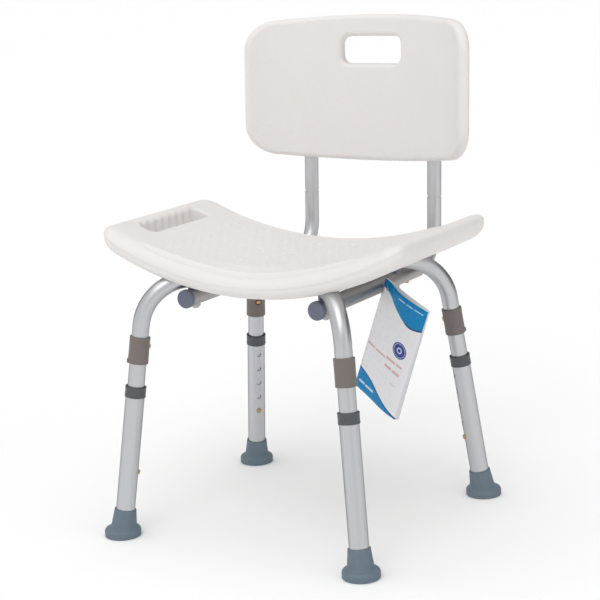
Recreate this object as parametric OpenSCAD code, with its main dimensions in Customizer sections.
// Bath and shower chair: moulded seat and back on a splayed aluminium frame.
// Four legs adjust in height on snap buttons and pull off for storage, and the back pulls out
// of its sockets. Millimetres, +Z up, the sitter faces -Y, floor at z = 0, and the origin is
// under the middle of the chair's box.

/* [Seat] */
// Width of the seat from end to end
seat_w = 511; // [480:1:520]
// Depth of the seat from front to back
seat_d = 300; // [280:1:310]
// Corner radius of the seat, seen from above
seat_corner_r = 28; // [20:1:40]
// Height of the lowest line of the seat's upper surface
seat_top_z = 411; // [406:1:412]
// Radius of the dished upper surface
seat_top_r = 590; // [580:10:660]
// Height of the lowest line of the seat's underside
seat_under_z = 369; // [366:1:372]
// Radius of the curved underside
seat_under_r = 525; // [500:5:540]
// Width of the grip slot in each end of the seat
grip_slot_w = 31; // [28:1:36]
// Length of the grip slot in each end of the seat
grip_slot_l = 158; // [140:2:170]
// Distance from the middle of the seat to the middle of a grip slot
grip_slot_x = 214; // [210:1:220]
// Diameter of the drain holes
drain_d = 8; // [5:0.5:9]
// Spacing of the drain holes across the seat
drain_pitch_x = 60; // [50:1:62]
// Spacing of the drain holes from front to back
drain_pitch_y = 72; // [50:1:80]

/* [Legs] */
// Distance of a front foot from the centre line
front_foot_x = 206; // [204:1:208]
// Distance of a rear foot from the centre line
rear_foot_x = 212; // [210:1:214]
// Distance of a foot from the middle of the leg frame, front to back
foot_y = 194.5; // [192:0.5:198]
// Lean of every leg away from vertical, in degrees
splay = 8.4; // [8:0.1:8.8]
// Plan direction of a front leg's lean, from the sideways axis, in degrees
front_splay_dir = 44; // [43:1:45]
// Plan direction of a rear leg's lean, from the sideways axis, in degrees
rear_splay_dir = 41; // [40:1:42]
// Outer diameter of the frame tube and of the inner leg tube
frame_od = 25.4; // [25.4:0.1:25.6]
// Outer diameter of the height-adjusting lower tube
lower_od = 28.6; // [28.6:0.1:28.8]
// Wall thickness of the leg and frame tubes
tube_wall = 1.3; // [1.2:0.1:1.4]
// Position of the lowest height hole, along the leg from the floor
hole_first = 100; // [96:1:104]
// Spacing of the height holes
hole_pitch = 25.4; // [25.4:0.1:26]
// Number of height holes in each lower tube
hole_count = 5; // [3:1:5]
// Diameter of the button holes
hole_d = 8; // [7.8:0.1:8.4]
// Top of the lower tube's lock ring, along the leg from the floor
ring_top = 233; // [230:1:236]
// Bottom of the joint collar, along the leg from the floor
collar_bottom = 268; // [266:1:270]
// Length of the joint collar
collar_l = 41; // [38:1:44]
// Height of a rubber foot along the leg
foot_h = 42; // [38:1:46]
// Diameter of a rubber foot at the floor
foot_d = 55; // [50:1:58]

/* [Frame] */
// Position along the leg where the frame tube starts to bend
bend_start = 325.5; // [324:0.5:327]
// Radius of the frame tube's downward bends
bend_r = 74.5; // [73:0.5:76]
// Radius of the frame tube's bends seen from above
plan_bend_r = 75; // [70:1:77]
// Distance of the straight part of the frame tube from the centre line
run_x = 94; // [92:1:94]
// Distance of a socket tube from the centre line
socket_x = 112; // [111:1:113]
// Front end of a socket tube, from the middle of the leg frame
socket_front = 124; // [122:1:126]
// Rear end of a socket tube, from the middle of the leg frame
socket_rear = 182; // [180:1:182]

/* [Back] */
// Width of the back panel from end to end
back_w = 395; // [390:1:400]
// Height of the back panel at its middle
back_h = 232; // [228:1:238]
// Thickness of the back panel
back_t = 26; // [24:1:28]
// Radius of the back panel's curve, seen from above
back_r = 268; // [262:1:290]
// Corner radius of the back panel
back_corner_r = 45; // [40:1:50]
// Radius of the bowed top and bottom edges of the back panel
back_bow_r = 1250; // [1200:50:2500]
// Lower edge of the back panel, above the posts' reference height
back_low = 65; // [56:1:66]
// Lean of the back, in degrees
lean = 3.5; // [3:0.5:4]
// Length of the handle slot in the back panel
back_slot_l = 112; // [100:1:116]
// Height of the handle slot in the back panel
back_slot_h = 43; // [38:1:46]
// Middle of the handle slot, above the posts' reference height
back_slot_z = 242; // [236:1:246]
// Outer diameter of a back post
post_od = 22.2; // [22:0.1:22.2]
// Radius of the bend at the foot of a back post
post_bend_r = 62; // [60:1:62]
// Length of post that sits inside a socket tube
post_insert = 70; // [60:1:72]

/* [Hang tag] */
// Width of the hang tag booklet
tag_w = 93; // [70:1:96]
// Height of the hang tag booklet
tag_h = 195; // [170:1:200]
// Thickness of the hang tag booklet
tag_t = 2; // [1.6:0.2:2.4]
// Plan direction of the hang tag's face, from the sideways axis, in degrees
tag_turn = -19.4; // [-24:0.1:-5]

/* [Hidden] */
$fn = 64;

// Slip between nested tubes, and the small overrun of a cut past a face
slip = 0.3;
over = 1;
// Straight tube reaches this far into each bend, whose section the bending swells a little
lap = 0.5;
bend_swell = 0.15;

// Corners of the frame: side sign, front-to-rear sign, foot distance, direction of lean
FRONT_LEFT = [-1, -1, front_foot_x, front_splay_dir];
FRONT_RIGHT = [1, -1, front_foot_x, front_splay_dir];
REAR_LEFT = [-1, 1, rear_foot_x, rear_splay_dir];
REAR_RIGHT = [1, 1, rear_foot_x, rear_splay_dir];

frame_r = frame_od / 2;
frame_ri = frame_r - tube_wall;
lower_r = lower_od / 2;
lower_ri = lower_r - tube_wall;
spigot_r = frame_ri - slip / 2;
spigot_ri = spigot_r - tube_wall;
collar_button_at = collar_bottom + collar_l / 2 + 6;
frame_end = collar_bottom + 4;
post_r = post_od / 2;
post_ri = post_r - 1.2;

// Heights of the crossing tubes, which the saddles hold apart
run_z = bend_start * cos(splay) + bend_r * (1 - sin(splay));
saddle_web = 1.2;
socket_z = run_z - frame_od - saddle_web;

// How far a leg's axis travels towards the middle, from the floor to the end of its bend
bend_reach = bend_start * sin(splay) + bend_r * cos(splay);
function bend_end_x(c) = c[2] - cos(c[3]) * bend_reach;
function bend_end_y(c) = foot_y - sin(c[3]) * bend_reach;
// Straight length between a frame tube's downward bend and its bend in plan
function link_l(c) = (bend_end_x(c) - run_x - plan_bend_r * (1 - sin(c[3]))) / cos(c[3]);
function plan_centre_x(c) = run_x + plan_bend_r;
function plan_centre_y(c) = bend_end_y(c) - link_l(c) * sin(c[3]) - plan_bend_r * cos(c[3]);
// Where a bend in plan crosses over the socket tube, which is where the bolt goes
function bolt_y(c) =
    plan_centre_y(c) + sqrt(pow(plan_bend_r, 2) - pow(plan_centre_x(c) - socket_x, 2));

// Fasteners
bolt_r = 3;
bolt_hole_r = 3.3;
bolt_head_r = 5.5;
insert_r = 6;
insert_l = 11;
washer_low = socket_z - frame_r - 2;
insert_low = run_z + frame_r + over;
bolt_top = insert_low + insert_l;

// Back posts: reference height on the lean line, and where it stands
post_ref_y = 247;
post_ref_z = 450;
post_bend_turn = 90 - lean;
post_bend_y = post_bend_r * sin(post_bend_turn);
post_bend_z = post_bend_r * (1 - cos(post_bend_turn));
post_bend_top = socket_z + post_bend_z;
post_bend_start = post_ref_y - (post_ref_z - post_bend_top) * tan(lean) - post_bend_y;
post_button_y = 146;
// The post's axis stands this far behind the panel's middle surface
post_behind = 10;
post_depth_in_panel = 150;
panel_centre_y = -post_behind - sqrt(pow(back_r, 2) - pow(socket_x, 2));
screw_z = back_low + 38;
post_groove_z = 11;

// The chair's box runs from the front feet to the top edge of the back panel, and its middle is
// this far from the middle of the leg frame
back_reach_y = panel_centre_y + back_r + back_t / 2;
rear_most_y = post_ref_y + back_reach_y * cos(lean) + (back_low + back_h) * sin(lean);
frame_shift_y = (foot_y + foot_d / 2 - rear_most_y) / 2;

// Hang tag: the point of its top corner, and where its string passes through
tag_corner = [134, 45.8, 371.2];
tag_hole_drop = 8;
tag_hole_r = 2.5;
tag_diag_angle = atan(tag_w / tag_h);
string_r = 0.6;
string_wrap_r = frame_r + string_r + 0.15;

white_plastic = [0.90, 0.89, 0.88];
satin_aluminium = [0.78, 0.79, 0.80];
brown_grey = [0.47, 0.43, 0.41];
ring_grey = [0.35, 0.35, 0.36];
slate_rubber = [0.40, 0.48, 0.53];
slate_plug = [0.41, 0.44, 0.51];
brass = [0.74, 0.65, 0.43];
zinc = [0.66, 0.66, 0.66];

// ---- placing helpers ----

module chair() {
    translate([0, frame_shift_y, 0]) children();
}

// Carries a shape drawn in the rear right quarter to a corner of the chair
module at_corner(c) {
    chair()
        mirror([c[0] < 0 ? 1 : 0, 0, 0])
            mirror([0, c[1] < 0 ? 1 : 0, 0])
                children();
}

// Local +Z runs up the leg from the floor, and local +X points to the middle of the chair
module along_leg(c) {
    translate([c[2], foot_y, 0])
        rotate([0, 0, 180 + c[3]])
            rotate([0, splay, 0])
                children();
}

// Local +Z runs up the back posts from their reference height
module along_back() {
    chair()
        translate([0, post_ref_y, post_ref_z])
            rotate([-lean, 0, 0])
                children();
}

module ring(outer, inner) {
    difference() {
        circle(r = outer);
        if (inner > 0) circle(r = inner);
    }
}

module bend(turn, radius, outer, inner) {
    rotate_extrude(angle = turn)
        translate([radius, 0])
            ring(outer + bend_swell, inner > 0 ? inner - bend_swell : 0);
}

module pipe(length, outer, inner) {
    translate([0, 0, -lap]) linear_extrude(length + 2 * lap) ring(outer, inner);
}

module tube(outer, inner, length) {
    difference() {
        cylinder(r = outer, h = length);
        translate([0, 0, -over]) cylinder(r = inner, h = length + 2 * over);
    }
}

// A hole or stub along local +X, centred at a height
module side_hole(radius, height) {
    translate([0, 0, height]) rotate([0, 90, 0]) cylinder(r = radius, h = 30);
}

// ---- seat ----

module seat_outline(grow) {
    half_w = seat_w / 2 + grow;
    half_d = seat_d / 2 + grow;
    corner = seat_corner_r + grow;
    square([2 * half_w, 2 * (half_d - corner)], center = true);
    square([2 * (half_w - corner), 2 * half_d], center = true);
    for (x = [-1, 1], y = [-1, 1])
        translate([x * (half_w - corner), y * (half_d - corner)]) circle(r = corner);
}

module across_seat(radius, low_z) {
    translate([0, seat_d, low_z + radius])
        rotate([90, 0, 0])
            cylinder(r = radius, h = 2 * seat_d, $fn = 128);
}

// Room for one quarter of a frame tube under the seat, open downwards
module quarter_channel(c) {
    room = frame_r + slip;
    half = room + 1.5;
    line = channel_line(c);
    at_corner(c) {
        leg_bend(c, room, 0);
        translate([0, 0, seat_under_z - 20])
            linear_extrude(run_z + room + 0.7 - seat_under_z + 20)
                polygon(concat(
                    [for (p = line) [p[0], p[1]] - half * [-sin(p[2]), cos(p[2])]],
                    [for (i = [len(line) - 1 : -1 : 0])
                        [line[i][0], line[i][1]] + half * [-sin(line[i][2]), cos(line[i][2])]]
                ));
    }
}

// Points of a frame tube's centre line seen from above, each with its heading
function channel_line(c) = concat(
    [[run_x, -over, 90]],
    [for (t = [90 : (c[3] - 90) / 4 : c[3]]) [
        plan_centre_x(c) - plan_bend_r * sin(t), plan_centre_y(c) + plan_bend_r * cos(t), t
    ]],
    [[bend_end_x(c) + 16 * cos(c[3]), bend_end_y(c) + 16 * sin(c[3]), c[3]]]
);

module seat() {
    color(white_plastic)
        difference() {
            chair()
                intersection() {
                    translate([0, 0, seat_under_z - 10])
                        linear_extrude(120) seat_outline(0);
                    across_seat(seat_under_r, seat_under_z);
                    difference() {
                        translate([0, 0, seat_under_z + 50])
                            cube([2 * seat_w, 2 * seat_d, 120], center = true);
                        across_seat(seat_top_r, seat_top_z);
                    }
                }
            chair() {
                for (side = [-1, 1])
                    translate([side * grip_slot_x, 0, seat_under_z - 10])
                        linear_extrude(130) grip_slot();
                for (i = [-1, 0, 1], j = [-1, 0, 1])
                    translate([i * drain_pitch_x, j * drain_pitch_y, seat_under_z - 10])
                        cylinder(r = drain_d / 2, h = 80);
            }
            for (c = [FRONT_LEFT, FRONT_RIGHT, REAR_LEFT, REAR_RIGHT]) {
                quarter_channel(c);
                at_corner(c)
                    translate([socket_x, bolt_y(c), insert_low - 5])
                        cylinder(r = insert_r, h = insert_l + 5);
            }
        }
}

module grip_slot() {
    corner = 10;
    square([grip_slot_w, grip_slot_l - 2 * corner], center = true);
    square([grip_slot_w - 2 * corner, grip_slot_l], center = true);
    for (x = [-1, 1], y = [-1, 1])
        translate([x * (grip_slot_w / 2 - corner), y * (grip_slot_l / 2 - corner)])
            circle(r = corner);
}

module seat_inserts() {
    color(zinc)
        for (c = [FRONT_LEFT, FRONT_RIGHT, REAR_LEFT, REAR_RIGHT])
            at_corner(c)
                translate([socket_x, bolt_y(c), insert_low]) tube(insert_r, bolt_r, insert_l);
}

// ---- frame ----

// The bend that turns a leg tube level, drawn along the leg
module leg_bend(c, outer, inner) {
    along_leg(c)
        translate([bend_r, 0, bend_start])
            rotate([90, 0, 0])
                rotate([0, 0, 90 + splay])
                    bend(90 - splay, bend_r, outer, inner);
}

// One quarter of a side frame's tube, from its leg end to its run
module frame_quarter(c, outer, inner) {
    along_leg(c)
        translate([0, 0, frame_end]) linear_extrude(bend_start + lap - frame_end) ring(outer, inner);
    leg_bend(c, outer, inner);
    translate([bend_end_x(c), bend_end_y(c), run_z])
        rotate([0, 0, c[3]])
            rotate([0, -90, 0])
                pipe(link_l(c), outer, inner);
    translate([plan_centre_x(c), plan_centre_y(c), run_z])
        rotate([0, 0, 90 + c[3]])
            bend(90 - c[3], plan_bend_r, outer, inner);
}

module side_frame(front, rear) {
    color(satin_aluminium)
        difference() {
            union() {
                for (c = [front, rear])
                    at_corner(c) frame_quarter(c, frame_r, frame_ri);
                chair()
                    translate([front[0] * run_x, -plan_centre_y(front), run_z])
                        rotate([-90, 0, 0])
                            pipe(plan_centre_y(front) + plan_centre_y(rear), frame_r, frame_ri);
            }
            for (c = [front, rear])
                at_corner(c) {
                    along_leg(c) side_hole(hole_d / 2, collar_button_at);
                    translate([socket_x, bolt_y(c), run_z - 20]) cylinder(r = bolt_hole_r, h = 40);
                }
        }
}

module socket_tube(side, front, rear) {
    color(satin_aluminium)
        chair()
            difference() {
                translate([side * socket_x, -socket_front, socket_z])
                    rotate([-90, 0, 0])
                        tube(frame_r, frame_ri, socket_front + socket_rear);
                for (y = [-bolt_y(front), bolt_y(rear)])
                    translate([side * socket_x, y, socket_z - 20])
                        cylinder(r = bolt_hole_r, h = 40);
                translate([side * socket_x, post_button_y, socket_z - 20])
                    cylinder(r = hole_d / 2, h = 20);
            }
}

module tube_plug(side) {
    flange_r = 13.9;
    flange_t = 7;
    stem_l = 16;
    color(slate_plug)
        chair()
            translate([side * socket_x, -socket_front, socket_z])
                rotate([90, 0, 0])
                    rotate_extrude() {
                        translate([0, -stem_l]) square([frame_ri - 0.05, stem_l + over]);
                        square([flange_r - 2, flange_t]);
                        square([flange_r, flange_t - 2]);
                        translate([flange_r - 2, flange_t - 2]) circle(r = 2);
                    }
}

// Plastic saddles that nest between a socket tube and the frame tube above it
module tube_saddles() {
    saddle_r = 10;
    saddle_h = 10;
    color(slate_plug)
        for (c = [FRONT_LEFT, FRONT_RIGHT, REAR_LEFT, REAR_RIGHT])
            at_corner(c)
                difference() {
                    translate([socket_x, bolt_y(c), (socket_z + run_z) / 2 - saddle_h / 2])
                        tube(saddle_r, bolt_hole_r, saddle_h);
                    frame_quarter(c, frame_r, 0);
                    translate([socket_x, 0, socket_z])
                        rotate([-90, 0, 0])
                            cylinder(r = frame_r, h = socket_rear);
                }
}

// Washers hollowed to fit the underside of the socket tubes
module seat_washers() {
    color(zinc)
        for (c = [FRONT_LEFT, FRONT_RIGHT, REAR_LEFT, REAR_RIGHT])
            at_corner(c)
                difference() {
                    translate([socket_x, bolt_y(c), washer_low]) tube(7.5, bolt_hole_r, 5);
                    translate([socket_x, 0, socket_z])
                        rotate([-90, 0, 0])
                            cylinder(r = frame_r, h = socket_rear);
                }
}

module seat_bolts() {
    head_h = 3.4;
    color(zinc)
        for (c = [FRONT_LEFT, FRONT_RIGHT, REAR_LEFT, REAR_RIGHT])
            at_corner(c)
                translate([socket_x, bolt_y(c), washer_low])
                    difference() {
                        union() {
                            cylinder(r = bolt_r, h = bolt_top - washer_low - over);
                            translate([0, 0, -1.4]) cylinder(r = bolt_head_r, h = 1.4);
                            translate([0, 0, -head_h])
                                cylinder(r1 = bolt_head_r - 2, r2 = bolt_head_r, h = head_h - 1.4);
                        }
                        translate([0, 0, -head_h - over]) cylinder(r = 2.2, h = 3, $fn = 6);
                    }
}

// ---- legs ----

module leg_inner(c) {
    inner_end = hole_first - 20;
    shoulder = frame_end - 0.2;
    spigot_l = 46;
    color(satin_aluminium)
        at_corner(c)
            along_leg(c)
                difference() {
                    union() {
                        translate([0, 0, inner_end])
                            tube(frame_r, frame_ri, shoulder - inner_end);
                        translate([0, 0, shoulder - 3])
                            tube(frame_ri + over / 2, spigot_ri, 3);
                        translate([0, 0, shoulder - over / 2])
                            tube(spigot_r, spigot_ri, spigot_l);
                    }
                    side_hole(hole_d / 2, hole_first);
                    side_hole(hole_d / 2, collar_button_at);
                }
}

module leg_outer(c) {
    tube_low = 9;
    color(satin_aluminium)
        at_corner(c)
            along_leg(c)
                difference() {
                    translate([0, 0, tube_low])
                        tube(lower_r, lower_ri, ring_top - 3 - tube_low);
                    for (i = [0 : hole_count - 1])
                        side_hole(hole_d / 2, hole_first + i * hole_pitch);
                }
}

// Cap over the top of the lower tube, with a lip that the inner tube slides through
module lock_ring(c) {
    ring_l = 17;
    ring_r = 16.1;
    lip_t = 2.9;
    color(ring_grey)
        at_corner(c)
            along_leg(c)
                difference() {
                    translate([0, 0, ring_top - ring_l]) {
                        cylinder(r = ring_r, h = ring_l - 1.5);
                        translate([0, 0, ring_l - 1.5])
                            cylinder(r1 = ring_r, r2 = ring_r - 1.2, h = 1.5);
                    }
                    translate([0, 0, ring_top - ring_l - over])
                        cylinder(r = lower_r, h = ring_l - lip_t + over);
                    translate([0, 0, ring_top - ring_l]) cylinder(r = frame_r + 0.1, h = 2 * ring_l);
                }
}

module collar(c) {
    collar_r = 15.5;
    tab_l = 6;
    color(brown_grey)
        at_corner(c)
            along_leg(c)
                difference() {
                    union() {
                        translate([0, 0, collar_bottom]) cylinder(r = collar_r, h = collar_l - 1.5);
                        translate([0, 0, collar_bottom + collar_l - 1.5])
                            cylinder(r1 = collar_r, r2 = collar_r - 1.2, h = 1.5);
                        translate([-collar_r - 1.4, -3.5, collar_bottom])
                            cube([4, 7, tab_l]);
                    }
                    translate([0, 0, collar_bottom - over])
                        cylinder(r = frame_r + 0.1, h = frame_end - 0.2 - collar_bottom + over);
                    translate([0, 0, collar_bottom])
                        cylinder(r = frame_r, h = collar_l + over);
                    side_hole(hole_d / 2 + 0.6, collar_button_at);
                }
}

// Rubber tip: a flat round pad on the floor, with a leaning socket for the tube
module foot(c) {
    pad_h = 14;
    edge_r = 6.5;
    tube_low = 9;
    color(slate_rubber)
        at_corner(c)
            difference() {
                union() {
                    translate([c[2], foot_y, 0])
                        rotate_extrude() {
                            square([foot_d / 2 - edge_r, pad_h]);
                            translate([foot_d / 2 - edge_r, edge_r]) circle(r = edge_r);
                            square([foot_d / 2 - 3, edge_r]);
                        }
                    along_leg(c) translate([0, 0, 8]) cylinder(r1 = 19.6, r2 = 16.4, h = foot_h - 8);
                }
                along_leg(c) translate([0, 0, tube_low]) cylinder(r = lower_r, h = foot_h);
            }
}

// Brass snap button along local +X, with a flange that stays behind the tube wall
module snap_button(flange_low, tip) {
    pin_r = 3.7;
    nose = 1.2;
    rotate([0, 90, 0]) {
        translate([0, 0, flange_low]) cylinder(r = 4.2, h = 1.4);
        translate([0, 0, flange_low]) cylinder(r = pin_r, h = tip - nose - flange_low);
        translate([0, 0, tip - nose]) cylinder(r1 = pin_r, r2 = pin_r - 1.1, h = nose);
    }
}

// U-shaped leaf spring between a snap button and the far wall of its tube
module leaf_spring(button_side, wall_side, leaf_l) {
    strip = 0.6;
    width = 4;
    mid = (button_side - wall_side) / 2;
    bend = (button_side + wall_side) / 2;
    translate([mid, 0, leaf_l])
        rotate([90, 0, 0])
            translate([0, 0, -width / 2])
                rotate_extrude(angle = 180)
                    translate([bend - strip, 0]) square([strip, width]);
    translate([button_side - strip, -width / 2, -5]) cube([strip, width, leaf_l + 5]);
    translate([-wall_side, -width / 2, -5]) cube([strip, width, leaf_l + 5]);
}

height_flange = 8.8;
height_tip = lower_r + 2.6;
collar_flange = 7.2;
collar_tip = 15.5 + 1.2;
post_flange = 7.2;
post_tip = frame_r + 2.6;

module leg_springs(c) {
    color(zinc)
        at_corner(c)
            along_leg(c) {
                translate([0, 0, hole_first]) leaf_spring(height_flange - 0.1, frame_ri - 0.4, 14);
                translate([0, 0, collar_button_at]) leaf_spring(collar_flange - 0.1, spigot_ri - 0.4, 12);
            }
}

module height_button(c) {
    color(brass)
        at_corner(c)
            along_leg(c)
                translate([0, 0, hole_first]) snap_button(height_flange, height_tip);
}

module collar_button(c) {
    color(brass)
        at_corner(c)
            along_leg(c)
                translate([0, 0, collar_button_at]) snap_button(collar_flange, collar_tip);
}

// ---- back ----

module panel_outline() {
    half_w = back_w / 2;
    corner = back_corner_r;
    intersection() {
        translate([0, back_low]) {
            translate([-half_w, corner]) square([back_w, back_h - 2 * corner]);
            translate([corner - half_w, 0]) square([back_w - 2 * corner, back_h]);
            for (x = [-1, 1], y = [corner, back_h - corner])
                translate([x * (half_w - corner), y]) circle(r = corner);
        }
        translate([0, back_low + back_bow_r]) circle(r = back_bow_r, $fn = 256);
        translate([0, back_low + back_h - back_bow_r]) circle(r = back_bow_r, $fn = 256);
    }
}

module slot_outline(length, height) {
    corner = 14;
    square([length, height - 2 * corner], center = true);
    square([length - 2 * corner, height], center = true);
    for (x = [-1, 1], y = [-1, 1])
        translate([x * (length / 2 - corner), y * (height / 2 - corner)]) circle(r = corner);
}

module back_panel() {
    reach = 200;
    sleeve_r = 14.5;
    color(white_plastic)
        along_back()
            difference() {
                union() {
                    intersection() {
                        translate([0, reach, 0]) rotate([90, 0, 0])
                            linear_extrude(2 * reach) panel_outline();
                        translate([0, panel_centre_y, 0])
                            difference() {
                                cylinder(r = back_r + back_t / 2, h = 400, $fn = 128);
                                cylinder(r = back_r - back_t / 2, h = 400, $fn = 128);
                            }
                    }
                    for (side = [-1, 1])
                        translate([side * socket_x, 0, back_low + 2])
                            cylinder(r = sleeve_r, h = post_depth_in_panel + 6);
                }
                translate([0, reach, back_slot_z])
                    rotate([90, 0, 0])
                        linear_extrude(2 * reach) slot_outline(back_slot_l, back_slot_h);
                for (side = [-1, 1]) {
                    translate([side * socket_x, 0, 0])
                        cylinder(r = post_r + 0.05, h = back_low + post_depth_in_panel);
                    translate([side * socket_x, 0, screw_z])
                        rotate([-90, 0, 0])
                            cylinder(r = 2.2, h = 40);
                }
            }
}

// A back post's tube: inside the socket tube, round the bend and up the lean
module post_bar(outer, inner) {
    chair() {
        translate([0, socket_rear - post_insert, socket_z])
            rotate([-90, 0, 0])
                linear_extrude(post_bend_start - socket_rear + post_insert + lap) ring(outer, inner);
        translate([0, post_bend_start, socket_z + post_bend_r])
            rotate([0, 90, 0])
                bend(post_bend_turn, post_bend_r, outer, inner);
    }
    post_straight = (post_ref_z - post_bend_top) / cos(lean);
    along_back()
        translate([0, 0, -post_straight - lap])
            linear_extrude(post_straight + lap + back_low + post_depth_in_panel) ring(outer, inner);
}

module back_post(side) {
    groove_w = 4;
    groove_deep = 0.8;
    color(satin_aluminium)
        difference() {
            translate([side * socket_x, 0, 0]) post_bar(post_r, post_ri);
            chair()
                translate([side * socket_x, post_button_y, socket_z - 20])
                    cylinder(r = hole_d / 2, h = 20);
            along_back()
                translate([side * socket_x, 0, 0]) {
                    translate([0, 0, post_groove_z])
                        difference() {
                            cylinder(r = post_r + over, h = groove_w);
                            translate([0, 0, -over])
                                cylinder(r = post_r - groove_deep, h = groove_w + 2 * over);
                        }
                    translate([0, 0, screw_z])
                        rotate([-90, 0, 0])
                            cylinder(r = 2.2, h = 40);
                }
        }
}

module back_screws() {
    head_r = 4.5;
    color(zinc)
        along_back()
            for (side = [-1, 1])
                translate([side * socket_x, 0, screw_z])
                    rotate([-90, 0, 0]) {
                        translate([0, 0, 8.6]) cylinder(r = 2.15, h = 7);
                        translate([0, 0, 14.6])
                            difference() {
                                cylinder(r1 = head_r, r2 = head_r - 1.5, h = 2.2);
                                translate([0, 0, 1]) cube([5, 1.1, 3], center = true);
                                translate([0, 0, 1]) cube([1.1, 5, 3], center = true);
                            }
                    }
}

module at_post_button(side) {
    chair()
        translate([side * socket_x, post_button_y, socket_z])
            rotate([0, 90, 90])
                children();
}

module post_springs() {
    color(zinc)
        for (side = [-1, 1])
            at_post_button(side) leaf_spring(post_flange - 0.1, post_ri - 0.4, 14);
}

module post_button(side) {
    color(brass) at_post_button(side) snap_button(post_flange, post_tip);
}

// ---- hang tag ----

// Local X runs across the card and local Z up it, with the top left corner at the origin
module along_tag() {
    chair()
        translate(tag_corner)
            rotate([0, 0, tag_turn])
                rotate([0, tag_diag_angle, 0])
                    children();
}

module hang_tag() {
    hole = tag_hole_drop;
    color(white_plastic)
        along_tag()
            difference() {
                translate([0, -tag_t / 2, -tag_h]) cube([tag_w, tag_t, tag_h]);
                translate([hole * sin(tag_diag_angle), tag_t, -hole * cos(tag_diag_angle)])
                    rotate([90, 0, 0])
                        cylinder(r = tag_hole_r, h = 2 * tag_t);
            }
}

// The string starts under the socket tube, goes up its inner side and over the top, and drops
// through the hole of the tag. Each point is an angle round the tube, a radius and a place along it
function on_wrap(turn, reach, along) = [
    socket_x + reach * sin(turn), along, socket_z - reach * cos(turn)
];
string_points = concat(
    [for (t = [0 : 18 : 216]) on_wrap(-t, string_wrap_r, 79 - t / 30)],
    [[125, 64.5, 368.3], [130, 56.2, 366], [133, 49.8, 364.1], [134, 45.8, 363.1]],
    [[134.3, 42.6, 361.4], [134.2, 41.8, 357.8]]
);

// Closed tube swept along a list of points
module sweep(points, radius, sides) {
    n = len(points);
    dirs = [for (i = [0 : n - 1])
        let (d = points[min(i + 1, n - 1)] - points[max(i - 1, 0)]) d / norm(d)];
    rings = [for (i = [0 : n - 1])
        let (
            side = cross(dirs[i], [0.2, 1, 0.1]),
            u = side / norm(side),
            v = cross(dirs[i], u)
        )
        for (k = [0 : sides - 1])
            points[i] + radius * (cos(360 * k / sides) * u + sin(360 * k / sides) * v)];
    walls = [for (i = [0 : n - 2], k = [0 : sides - 1])
        let (k2 = (k + 1) % sides)
        [i * sides + k, i * sides + k2, (i + 1) * sides + k2, (i + 1) * sides + k]];
    first = [for (k = [sides - 1 : -1 : 0]) k];
    last = [for (k = [0 : sides - 1]) (n - 1) * sides + k];
    polyhedron(points = rings, faces = concat(walls, [first], [last]), convexity = 6);
}

module tag_string() {
    color([0.78, 0.70, 0.58])
        chair() sweep(string_points, string_r, 8);
}

seat();
seat_inserts();
side_frame(FRONT_LEFT, REAR_LEFT);  // side_frame_left
side_frame(FRONT_RIGHT, REAR_RIGHT);  // side_frame_right
socket_tube(-1, FRONT_LEFT, REAR_LEFT);  // socket_tube_left
socket_tube(1, FRONT_RIGHT, REAR_RIGHT);  // socket_tube_right
tube_plug(-1);  // tube_plug_left
tube_plug(1);  // tube_plug_right
tube_saddles();
seat_washers();
seat_bolts();
leg_inner(FRONT_LEFT);  // leg_inner_front_left
leg_inner(FRONT_RIGHT);  // leg_inner_front_right
leg_inner(REAR_LEFT);  // leg_inner_rear_left
leg_inner(REAR_RIGHT);  // leg_inner_rear_right
leg_outer(FRONT_LEFT);  // leg_outer_front_left
leg_outer(FRONT_RIGHT);  // leg_outer_front_right
leg_outer(REAR_LEFT);  // leg_outer_rear_left
leg_outer(REAR_RIGHT);  // leg_outer_rear_right
collar(FRONT_LEFT);  // collar_front_left
collar(FRONT_RIGHT);  // collar_front_right
collar(REAR_LEFT);  // collar_rear_left
collar(REAR_RIGHT);  // collar_rear_right
lock_ring(FRONT_LEFT);  // lock_ring_front_left
lock_ring(FRONT_RIGHT);  // lock_ring_front_right
lock_ring(REAR_LEFT);  // lock_ring_rear_left
lock_ring(REAR_RIGHT);  // lock_ring_rear_right
foot(FRONT_LEFT);  // foot_front_left
foot(FRONT_RIGHT);  // foot_front_right
foot(REAR_LEFT);  // foot_rear_left
foot(REAR_RIGHT);  // foot_rear_right
leg_springs(FRONT_LEFT);  // leg_springs_front_left
leg_springs(FRONT_RIGHT);  // leg_springs_front_right
leg_springs(REAR_LEFT);  // leg_springs_rear_left
leg_springs(REAR_RIGHT);  // leg_springs_rear_right
height_button(FRONT_LEFT);  // height_button_front_left
height_button(FRONT_RIGHT);  // height_button_front_right
height_button(REAR_LEFT);  // height_button_rear_left
height_button(REAR_RIGHT);  // height_button_rear_right
collar_button(FRONT_LEFT);  // collar_button_front_left
collar_button(FRONT_RIGHT);  // collar_button_front_right
collar_button(REAR_LEFT);  // collar_button_rear_left
collar_button(REAR_RIGHT);  // collar_button_rear_right
back_panel();
back_post(-1);  // back_post_left
back_post(1);  // back_post_right
back_screws();
post_springs();
post_button(-1);  // post_button_left
post_button(1);  // post_button_right
hang_tag();
tag_string();
